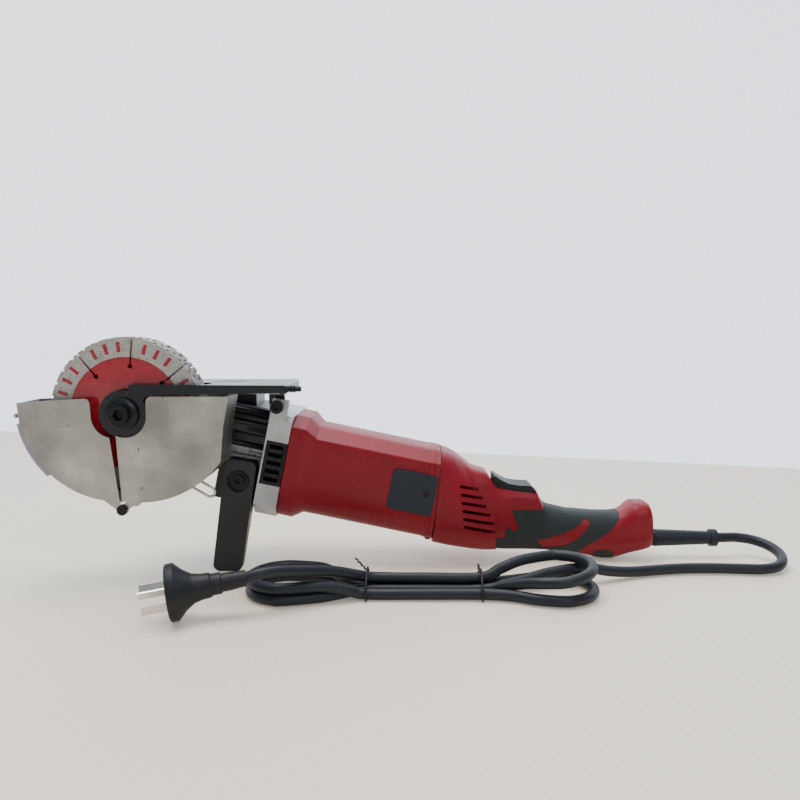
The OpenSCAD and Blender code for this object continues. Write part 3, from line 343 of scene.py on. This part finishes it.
# %% Sheet and ground steel
def sheet_steel(name, color, roughness, stain, scratch):
    f = Finish(name, color, roughness, 0.92)
    cloud = f.noise(46, 5, roughness=0.55, seed=1.4)
    spots = f.noise(9, 4, roughness=0.7, seed=6.6)
    lines = f.noise(3, 2, (0.06, 1, 1.4), seed=4.4).step(0.66, 0.74)
    steep = f.noise(3, 2, (1.2, 1, 0.05), seed=9.4).step(0.68, 0.76)
    ding = f.noise(7, 1, seed=12.8).step(0.755, 0.79)
    marks = (lines + steep) * scratch
    dark, pale = tuple(c * 0.62 for c in color), tuple(min(1, c * 1.45) for c in color)
    tone = f.mix(cloud.step(0.38, 0.68) * stain, color, dark)
    tone = f.mix((1 - cloud).step(0.56, 0.74) * stain, tone, pale)
    tone = f.mix(marks * 0.35, tone, (0.75, 0.75, 0.74))
    f.set("Base Color", f.mix(ding * 0.75, tone, (0.08, 0.075, 0.07)))
    f.set("Roughness", roughness + (cloud - 0.5) * 0.25 + (spots - 0.5) * 0.18)
    f.bump(spots * 0.5 + marks * 0.2 - ding, 0.12, 0.5)
    return f


guard_steel = sheet_steel("satin_guard_steel", (0.40, 0.395, 0.37), 0.40, 0.95, 0.5)
ground_steel = sheet_steel("ground_steel", (0.56, 0.56, 0.57), 0.28, 0.3, 0.3)
nickel = sheet_steel("nickel_pins", (0.66, 0.62, 0.56), 0.2, 0.25, 0.2)
brass = sheet_steel("brass_sheet", (0.62, 0.45, 0.2), 0.3, 0.3, 0.2)
copper = sheet_steel("copper_windings", (0.60, 0.27, 0.12), 0.35, 0.4, 0.1)

# %% [markdown]
# A disc is one solid here, but two materials on the real one: a lacquered core, and a rim of metal
# powder and diamond grit. The rim starts at a fixed radius from the spindle, and the windows in it
# are shallower than its faces, so radius and depth together tell the finish where to change.

# %% Disc finish
spindle_at = place(-224.5325, 0, 142.6686)


def disc_finish(number):
    f = Finish(f"disc_{number}", (0.30, 0.010, 0.018), 0.24, coat=0.6)
    middle = place(0, -63.2 - (3 - number) * 5.4, 0).y
    x, y, z = f.part(0) - spindle_at.x, f.part(1) - middle, f.part(2) - spindle_at.z
    radius = (x * x + z * z) ** 0.5
    depth = (y * y) ** 0.5
    rim = radius.step(0.04585, 0.0461) * depth.step(0.00088, 0.00096)
    outer = radius.step(0.0594, 0.0600)
    rim = 1 - (1 - rim) * (1 - outer)
    grit = f.noise(0.9, 4, roughness=0.8)
    streak = f.noise(6, 3, seed=3.3)
    lacquer = f.mix(streak.step(0.4, 0.7) * 0.5, (0.34, 0.012, 0.022), (0.22, 0.006, 0.012))
    metal = f.mix(grit.step(0.35, 0.65), (0.30, 0.29, 0.27), (0.56, 0.55, 0.52))
    metal = f.mix(streak.step(0.5, 0.75) * 0.5, metal, (0.26, 0.22, 0.18))
    f.set("Base Color", f.mix(rim, lacquer, metal))
    f.set("Metallic", rim * 0.75)
    f.set("Roughness", 0.2 + rim * 0.32 + grit * 0.08)
    f.set("Coat Weight", (1 - rim) * 0.6)
    f.bump(grit * rim, 0.16, 0.8)
    return f


# %% [markdown]
# ## Dressing the CAD parts
# The CAD parts keep their meshes. A Weld modifier joins the corners that the file format splits, a
# Bevel rounds the sharp edges by a few tenths of a millimetre, and on the plate and the arm the
# bevel itself carries a bright bare-metal finish: a painted highlight along those edges.

# %% Dress the parts
sharp_from = 35  # degrees between faces


def dress(name, finish, round_mm, segments=2, edge=None):
    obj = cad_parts[name]
    for s in obj.material_slots:
        s.material = finish.material
    if round_mm:
        weld = obj.modifiers.new("weld", "WELD")
        weld.merge_threshold = 2e-6
        bevel = obj.modifiers.new("rounding", "BEVEL")
        bevel.width = round_mm / 1000
        bevel.segments = segments
        bevel.limit_method = "ANGLE"
        bevel.angle_limit = math.radians(sharp_from)
        bevel.harden_normals = False
        if edge:
            obj.data.materials.append(edge.material)
            bevel.material = len(obj.data.materials) - 1
    return obj


for number in range(1, 6):
    dress(f"blade_{number}", disc_finish(number), 0.15, 1)
for finish, rounding, names in (
    (ground_steel, 0.2, ["spindle", "blade_spacers", "cross_shaft", "armature_shaft",
                         "gear_bearings", "motor_bearings", "door_pin"]),
    (ground_steel, 0, ["spindle_gear", "drive_gear", "bevel_gear", "bevel_pinion",
                       "wire_loop"]),
    (black_oxide, 0.3, ["outer_flange", "inner_flange", "guard_pin", "handle_bolt", "arm_screws",
                        "brush_screws", "shell_screws", "spindle_bolt", "lug_bolt"]),
    (iron, 0, ["armature_core", "stator_core"]),
    (copper, 0, ["commutator", "stator_coils"]),
    (brass, 0, ["brush_holders"]),
    (black_moulding, 0, ["carbon_brushes", "cooling_fan", "switch_body", "cord_clamp"]),
    (black_moulding, 0.4, ["vent_grilles", "hose_barb"]),
    (head_casting, 0.5, ["gear_housing"]),
    (dark_casting, 0.5, ["transfer_case"]),
    (collar_casting, 0.8, ["bearing_flange"]),
    (bare_casting, 0.3, ["transfer_cover"]),
    (guard_steel, 0, ["door_catch"]),
    (lilac, 0.3, ["dust_door"]),
    (cap_grey, 0.6, ["brush_covers"]),
    (trigger_grey, 1.4, ["trigger"]),
    (sheath, 0.8, ["strain_relief"]),
    (plug_black, 0.5, ["plug_body"]),
    (nickel, 0.25, ["plug_pins"]),
    (red, 0, ["motor_housing", "near_rear_shell", "far_rear_shell"]),
    (rubber, 0, ["handle_grips"]),
    (black_moulding, 0, ["cord_ties"]),
):
    for name in names:
        dress(name, finish, rounding)
dress("fixed_guard", guard_steel, 0.3)
dress("swing_guard", guard_steel, 0.3)
dress("side_handle", handle_paint, 1.2, 3)
# The plate and the arm carry the bright bevel finish: painted highlights on their edges.
dress("base_plate", plate_paint, 0.7, 2, edge_highlight_finish)
dress("support_arm", plate_paint, 0.7, 2, edge_highlight_finish)
print("dressed", len(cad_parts), "parts")

# %% [markdown]
# ## Lofted mouldings
# The red housings are injection mouldings with slowly changing sections. A loft describes them best:
# rings of corners, one after another, joined by faces. One helper takes a list of rings and closes
# both ends.

# %% Loft helper
def loft(name, rings, finish, smooth_angle):
    n = len(rings[0])
    mesh = bpy.data.meshes.new(name)
    faces = []
    for i in range(len(rings) - 1):
        for k in range(n):
            a, b = i * n + k, i * n + (k + 1) % n
            faces.append((a, a + n, b + n, b))
    faces += [tuple(range(n)), tuple(reversed(range((len(rings) - 1) * n, len(rings) * n)))]
    mesh.from_pydata([tuple(p) for ring in rings for p in ring], [], faces)
    bm = bmesh.new()
    bm.from_mesh(mesh)
    bmesh.ops.recalc_face_normals(bm, faces=bm.faces)
    bm.to_mesh(mesh)
    bm.free()
    obj = bpy.data.objects.new(name, mesh)
    scene.collection.objects.link(obj)
    mesh.materials.append(finish.material)
    mesh.shade_smooth()
    mesh.set_sharp_from_angle(angle=math.radians(smooth_angle))
    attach(obj, "tool_body")
    return obj


def between(x, table):
    """Straight-line reading of a table of (x, value) pairs."""
    if x <= table[0][0]:
        return table[0][1]
    for (a, p), (b, q) in zip(table, table[1:]):
        if x <= b:
            return p + (q - p) * (x - a) / (b - a)
    return table[-1][1]


def rounded(angle, power):
    """Corner factors of a rounded rectangle at an angle; a higher power is squarer."""
    c, s = math.cos(angle), math.sin(angle)
    return (math.copysign(abs(c) ** (2 / power), c), math.copysign(abs(s) ** (2 / power), s))


# %% [markdown]
# ## Motor housing
# Its section is a rounded square with the two upper corners planed off, which gives the long bright
# facet under the top edge. A wide flange at the front slopes down to the body, and a raised band
# marks the leaning parting line at the rear.

# %% Motor housing
facet_y, facet_v = 0.429, 0.903  # where the planed corners face
seam_lean = 5.7  # degrees by which the parting line leans
low_side = 1.6  # by this much the axis lies nearer to the underside


def housing_ring(u, half_w, half_h, facet, lean, grow, foot):
    ring = []
    for k in range(96):
        angle = 2 * math.pi * (k + 0.5) / 96
        cy, cv = rounded(angle, 8.0 if angle < math.pi else 3.0)
        y = (half_w + grow) * cy
        v = (half_h + grow) * cv if cv > 0 else (half_h - low_side + grow) * cv
        over = facet_y * abs(y) + facet_v * v - facet - grow
        if over > 0 and v > 0:
            y -= math.copysign(over * facet_y, y)
            v -= over * facet_v
        if cv < -0.97:
            v -= foot
        ring.append(on_motor(u - lean * v * math.tan(math.radians(seam_lean)), y, v))
    return ring


stations = [  # along the motor, half width, half height, reach of the planed facet, proud by, foot
    (0, 44.2, 47.2, 53.2, 0, 0), (0.8, 45, 48, 54.1, 0, 0), (13, 45, 48, 54.1, 0, 0),
    (22.6, 41, 41.5, 46.5, 0, 0), (60, 41, 41.5, 46.5, 0, 0), (100, 41, 41.5, 46.5, 0, 0),
    (127, 41, 41.5, 46.5, 0, 0), (127.5, 41, 41.5, 46.5, 0.45, 0), (130, 41, 41.5, 46.5, 0.5, 0),
    (130.6, 41, 41.5, 46.5, 0.5, 1.6), (131.6, 41, 41.5, 46.5, 0.5, 1.9),
    (132, 41, 41.5, 46.5, 0.15, 1.9), (132.5, 41, 41.5, 46.5, 0.5, 1.9),
    (134.6, 41, 41.5, 46.5, 0.5, 1.6), (135.9, 41, 41.5, 46.5, 0.5, 0.2),
    (136.4, 41, 41.5, 46.5, 0.1, 0), (136.6, 40.2, 40.7, 45.7, 0, 0)
]
rings = [housing_ring(u, w, h, f, min(1, max(0, (u - 60) / 60)), g, foot)
         for u, w, h, f, g, foot in stations]
housing = loft("motor_housing_form", rings, red, smooth_angle=20)
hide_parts("motor_housing")
mould_line = [on_motor(u, -y, v) for u, y, v in [
    (36, 41.1, 27), (42, 41.2, 26.2), (60, 41.25, 26), (80, 41.25, 26), (100, 41.25, 26),
    (115, 41.25, 26), (122, 41.25, 26.6), (124.6, 41.2, 28.4), (125.4, 40.6, 30.6)]]
for side in (1, -1):
    line = [Vector((p.x, frame_y / 1000 + side * (p.y - frame_y / 1000), p.z)) for p in mould_line]
    bead = tube(f"mould_line_{'near' if side > 0 else 'far'}", smooth(line, 4), 0.0004, "tool_body")
    bead.data.materials.append(red.material)
print("housing", len(housing.data.polygons), "faces")

# %% [markdown]
# ## Rear housing and grip
# From the parting line the housing dips over the switch and narrows into the grip, then swells again
# at the heel. Top and bottom edges are read from the side view, the half width from the plan. The
# width changes along a slanting front, which leaves the ridge that runs down past the air slots.

# %% Rear housing
top_edge = [
    (14, 124), (20, 120), (29, 110.5), (38, 103.5), (45, 101.4), (51, 98.6), (56, 95.2), (61, 91),
    (66, 86.3), (70, 84.9), (79, 82.6), (82.5, 80.6), (84.2, 77.2), (85.6, 71), (89, 69.6),
    (95, 68), (105, 66.4), (117, 65.6), (124.6, 64.2), (127.6, 58.6), (130.6, 53), (136, 49.7),
    (153, 45.8), (178, 43.8), (195, 43.6), (201, 44.4), (206, 47.2), (210.5, 51), (213.5, 53),
    (216, 53.4), (224.6, 53.4), (227, 52.4), (228.6, 49.8), (229.8, 45.6), (230.5, 39),
    (230.9, 31), (231.2, 25)
]
low_edge = [
    (14, 21.6), (20, 20.3), (37, 16.6), (50, 13.9), (65, 11.2), (95, 8.5), (135, 7.5), (165, 4),
    (178, 1.2), (186, 0), (196, 0), (203, 2.2), (210, 4.8), (220, 7.4), (227, 9.2), (229.6, 10.4),
    (230.6, 12.6), (231.2, 16)
]
plan_edge = [
    (-40, 41), (40, 40.6), (52, 38.4), (60, 34.9), (68, 30.2), (74, 25.4), (75.4, 24.8),
    (84, 23.4), (95, 21), (112, 18.9), (190, 18.2), (203, 18.9), (213, 21), (223, 21),
    (227.5, 19.4), (230, 16.6), (231.2, 12)
]
upper_power = [(20, 5.0), (60, 4.0), (80, 5.0), (122, 5.0), (134, 2.8), (190, 2.6), (208, 3.2),
               (226, 3.6)]
lower_power = [(20, 4.0), (40, 4.0), (66, 3.2), (90, 2.8), (130, 2.5), (190, 2.5), (220, 3.0)]


ridge_slope, ridge_height = 0.6, 58  # the slant, and the height at which it doesn't move a section
lean_from, lean_to = 88, 118  # between these the sections come upright


def ridge_x(s, z):
    """Where a slanting section meets a height; behind the switch the sections stand upright."""
    lean = ridge_slope * (z - ridge_height)
    if s - lean < lean_from:
        return s - lean
    fade = lean_to - lean_from
    return min((s - lean * lean_to / fade) / (1 - lean / fade), s) if s < lean_to else s


def rear_ring(s, skin):
    ring = []
    for k in range(72):
        angle = 2 * math.pi * (k + 0.5) / 72
        x = s
        for _ in range(5):
            power = between(x, upper_power if angle < math.pi else lower_power)
            cy, cz = rounded(angle, power)
            top, low = between(x, top_edge) - skin, between(x, low_edge) + skin
            z = (top + low) / 2 + (top - low) / 2 * cz
            x = 0.5 * x + 0.5 * ridge_x(s, z)
        ring.append(place(x, (between(s, plan_edge) - skin) * cy, z))
    return ring


def x_stations(first, last, step):
    xs = {first, last} | {p[0] for p in plan_edge + top_edge if first < p[0] < last}
    x = first
    while x < last:
        xs.add(round(x, 2))
        x += step
    out = []
    for x in sorted(xs):
        if not out or x - out[-1] > 0.25:
            out.append(x)
    return out


def cut_front(obj):
    """Removes what lies in front of the leaning parting plane, and closes the cut."""
    bm = bmesh.new()
    bm.from_mesh(obj.data)
    point = on_motor(137.0, 0, 0)
    lean_dir = tilt - math.radians(seam_lean)
    cut = bmesh.ops.bisect_plane(
        bm, geom=bm.verts[:] + bm.edges[:] + bm.faces[:], plane_co=point, dist=1e-7,
        plane_no=(math.cos(lean_dir), 0, -math.sin(lean_dir)), clear_inner=True)
    edges = [e for e in cut["geom_cut"] if isinstance(e, bmesh.types.BMEdge)]
    bmesh.ops.holes_fill(bm, edges=edges)
    bm.to_mesh(obj.data)
    bm.free()


rear_rings = [rear_ring(s, 0.35) for s in x_stations(-4, 231.2, 1.5)]
rear = loft("rear_housing_form", rear_rings, red, smooth_angle=26)
cut_front(rear)
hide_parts("near_rear_shell", "far_rear_shell")

# %% [markdown]
# Slots, the switch opening and the edge of the rubber are cuts through the loft. A Boolean with a
# simple extruded outline makes each one, and is applied at once so that the mesh is plain.

# %% Cutting tools
def prism(name, outline, near, far):
    """An outline in X and Z, in drawing millimetres, extruded between two depths."""
    mesh = bpy.data.meshes.new(name)
    n = len(outline)
    points = [place(x, y, z) for y in (near, far) for x, z in outline]
    faces = [tuple(range(n)), tuple(reversed(range(n, 2 * n)))]
    faces += [(k, k + n, (k + 1) % n + n, (k + 1) % n) for k in range(n)]
    mesh.from_pydata([tuple(p) for p in points], [], faces)
    bm = bmesh.new()
    bm.from_mesh(mesh)
    bmesh.ops.recalc_face_normals(bm, faces=bm.faces)
    bm.to_mesh(mesh)
    bm.free()
    obj = bpy.data.objects.new(name, mesh)
    scene.collection.objects.link(obj)
    return obj


def combine(obj, tool, operation):
    m = obj.modifiers.new("cut", "BOOLEAN")
    m.operation, m.object, m.solver = operation, tool, "EXACT"
    graph = bpy.context.evaluated_depsgraph_get()
    result = bpy.data.meshes.new_from_object(obj.evaluated_get(graph))
    obj.modifiers.remove(m)
    old = obj.data
    obj.data = result
    result.name = old.name
    bpy.data.objects.remove(tool)


def sharpen(obj, angle):
    obj.data.shade_smooth()
    obj.data.set_sharp_from_angle(angle=math.radians(angle))


def slot_outline(u, v, length, height, turned):
    end = 7  # steps round each end
    r = height / 2
    ring = []
    for cx, start in ((length - r, -90), (r, 90)):
        for i in range(end + 1):
            a = math.radians(start + 180 * i / end)
            x, z = cx + r * math.cos(a), r + r * math.sin(a)
            q = (motor_front + along * (u + x * math.cos(turned) + z * math.sin(turned))
                 + upward * (v - x * math.sin(turned) + z * math.cos(turned)))
            ring.append((q.x, q.z))
    return ring


for i in range(6):
    outline = slot_outline(154 + 2.1 * i, 14.2 - 6.7 * i, 18.5 + 2.8 * i, 2.8, math.radians(3))
    for y_near, y_far in ((-46, -22), (46, 22)):
        combine(rear, prism("slot", outline, y_near, y_far), "DIFFERENCE")
switch_well = [(84.4, 90), (84.4, 62), (94, 56.5), (123.6, 54), (123.6, 90)]
combine(rear, prism("well", switch_well, -14.4, 14.4), "DIFFERENCE")
sharpen(rear, 28)
print("rear housing", len(rear.data.polygons), "faces")

# %% [markdown]
# The grip is soft rubber moulded over the red shell, with a zigzag front, a bare flame-shaped stripe
# and a separate patch under the heel. It is the same loft a little larger, kept only inside its
# outline, so it stands proud with a crisp edge as an overmould does.

# %% Rubber grip
grip_outline = [
    (132, 70), (130, 48.6), (101, 48.2), (106.6, 33), (105.3, 28), (95.7, 33), (95, 23.2),
    (84, 21.7), (78, 13), (76, -5), (158, -5), (163, 9), (168, 13.6), (173, 17.4), (179, 20.8),
    (185, 24.8), (190, 29), (194.6, 33.6), (198, 38.2), (200, 42.4), (200.8, 47), (201, 70)
]
stripe_outline = [
    (124, 20), (136, 22.6), (148, 26.6), (155, 29.8), (160.5, 33.4), (164.5, 37.2), (167, 39.2),
    (169.2, 39.6), (171.2, 38.4), (171.9, 36.2), (171.2, 33.4), (169, 29.8), (165.6, 25.8),
    (161.4, 22), (156, 18), (150, 15), (140, 13), (130, 12)
]
patch_outline = [(178, -5), (176.6, 6), (178.4, 10.4), (190, 11), (193.6, 8), (195, 4), (195.6, -5)]


grip_rings = [rear_ring(s, 0.0) for s in x_stations(60, 212, 1.5)]
grip = loft("grip_form", grip_rings, rubber, smooth_angle=26)
patch = loft("heel_patch_form", [rear_ring(s, 0.0) for s in x_stations(172, 200, 1.5)], rubber,
             smooth_angle=26)
combine(grip, prism("stripe", stripe_outline, -60, 60), "DIFFERENCE")
combine(grip, prism("outline", grip_outline, -60, 60), "INTERSECT")
combine(grip, prism("well", switch_well, -14.6, 14.6), "DIFFERENCE")
combine(patch, prism("outline", patch_outline, -60, 60), "INTERSECT")
for piece in (grip, patch):
    sharpen(piece, 28)
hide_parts("handle_grips")
print("grip", len(grip.data.polygons), "faces")

# %% [markdown]
# ## Wire ties
# Two plastic-coated wires hold the hank. Each wraps once around the strands, and its ends are
# twisted together and stand up.

# %% Wire ties
twist_steps, half_turns = 21, 7


def tie(name, x, y_low, y_high, z_top, tail):
    loop = [(x, y_low, 1.0), (x - 0.6, y_low - 1.0, 5), (x - 0.4, y_low + 0.6, 10),
            (x, (y_low + y_high) / 2 - 6, z_top), (x + 0.3, (y_low + y_high) / 2 + 6, z_top),
            (x + 0.4, y_high - 0.6, 10), (x + 0.3, y_high + 1.0, 5), (x, y_high, 1.0),
            (x, (y_low + y_high) / 2, 0.8), (x, y_low, 1.0)]
    points = [place(*p) for p in smooth(loop, 5)]
    twist = []
    for i in range(twist_steps + 1):
        s = i / twist_steps
        a = s * math.pi * half_turns
        b = Vector(tail[0]) + (Vector(tail[1]) - Vector(tail[0])) * s
        twist.append(place(b.x + 0.5 * math.cos(a), b.y + 0.5 * math.sin(a), b.z))
    band = tube(name, points, 0.0009, "tool_body")
    ends = tube(name + "_ends", twist, 0.0007, "tool_body")
    for piece in (band, ends):
        piece.data.materials.append(black_moulding.material)
    return band, ends


tie_left = tie("tie_left", -26, -120.4, -81.6, 19.4, ((-27, -86, 14), (-36, -86, 24)))
tie_right = tie("tie_right", 65, -120.4, -81.6, 18.2, ((65, -86, 12), (64.6, -85, 19)))
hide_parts("cord_ties")
cord.data.materials.append(sheath.material)

# %% [markdown]
# ## Stage and light
# A pale table meets a pale wall. Large soft lights overhead and beside the camera give broad
# highlights on the red moulding and soft shadows under the tool.

# %% Stage
def slab(name, size, location, rotation, color, roughness, glow):
    mesh = bpy.data.meshes.new(name)
    w, h = size[0] / 2, size[1] / 2
    mesh.from_pydata([(-w, -h, 0), (w, -h, 0), (w, h, 0), (-w, h, 0)], [], [(0, 1, 2, 3)])
    obj = bpy.data.objects.new(name, mesh)
    scene.collection.objects.link(obj)
    obj.location, obj.rotation_euler = location, rotation
    finish = Finish(name, color, roughness)
    finish.set("Emission Color", (*color, 1))
    finish.set("Emission Strength", glow)
    mesh.materials.append(finish.material)
    return obj


slab("table", (8, 3.2), (-0.50, -0.87, -0.0004), (0, 0, math.radians(-15.9)), (0.72, 0.64, 0.53),
     0.5, 0.3)
slab("wall", (16, 11), (0, 3.2, 2.5), (math.radians(90), 0, 0), (0.74, 0.80, 0.86), 0.9, 2.2)


# %% Lights
def soft_light(name, location, target, size, power, color):
    light = bpy.data.lights.new(name, "AREA")
    light.shape, light.size, light.energy, light.color = "DISK", size, power, color
    obj = bpy.data.objects.new(name, light)
    scene.collection.objects.link(obj)
    obj.location = location
    obj.rotation_euler = (Vector(target) - Vector(location)).to_track_quat("-Z", "Y").to_euler()
    return obj


soft_light("overhead", (-0.15, 0.1, 1.6), (0, 0, 0.05), 1.2, 30, (1.0, 0.98, 0.95))
soft_light("front", (0.6, -1.5, 1.3), (0, 0, 0.1), 1.0, 9, (0.96, 0.98, 1.0))
world = bpy.data.worlds.new("room")
world.use_nodes = True
world.node_tree.nodes["Background"].inputs[0].default_value = (0.80, 0.87, 1.0, 1)
world.node_tree.nodes["Background"].inputs[1].default_value = 0.45
scene.world = world
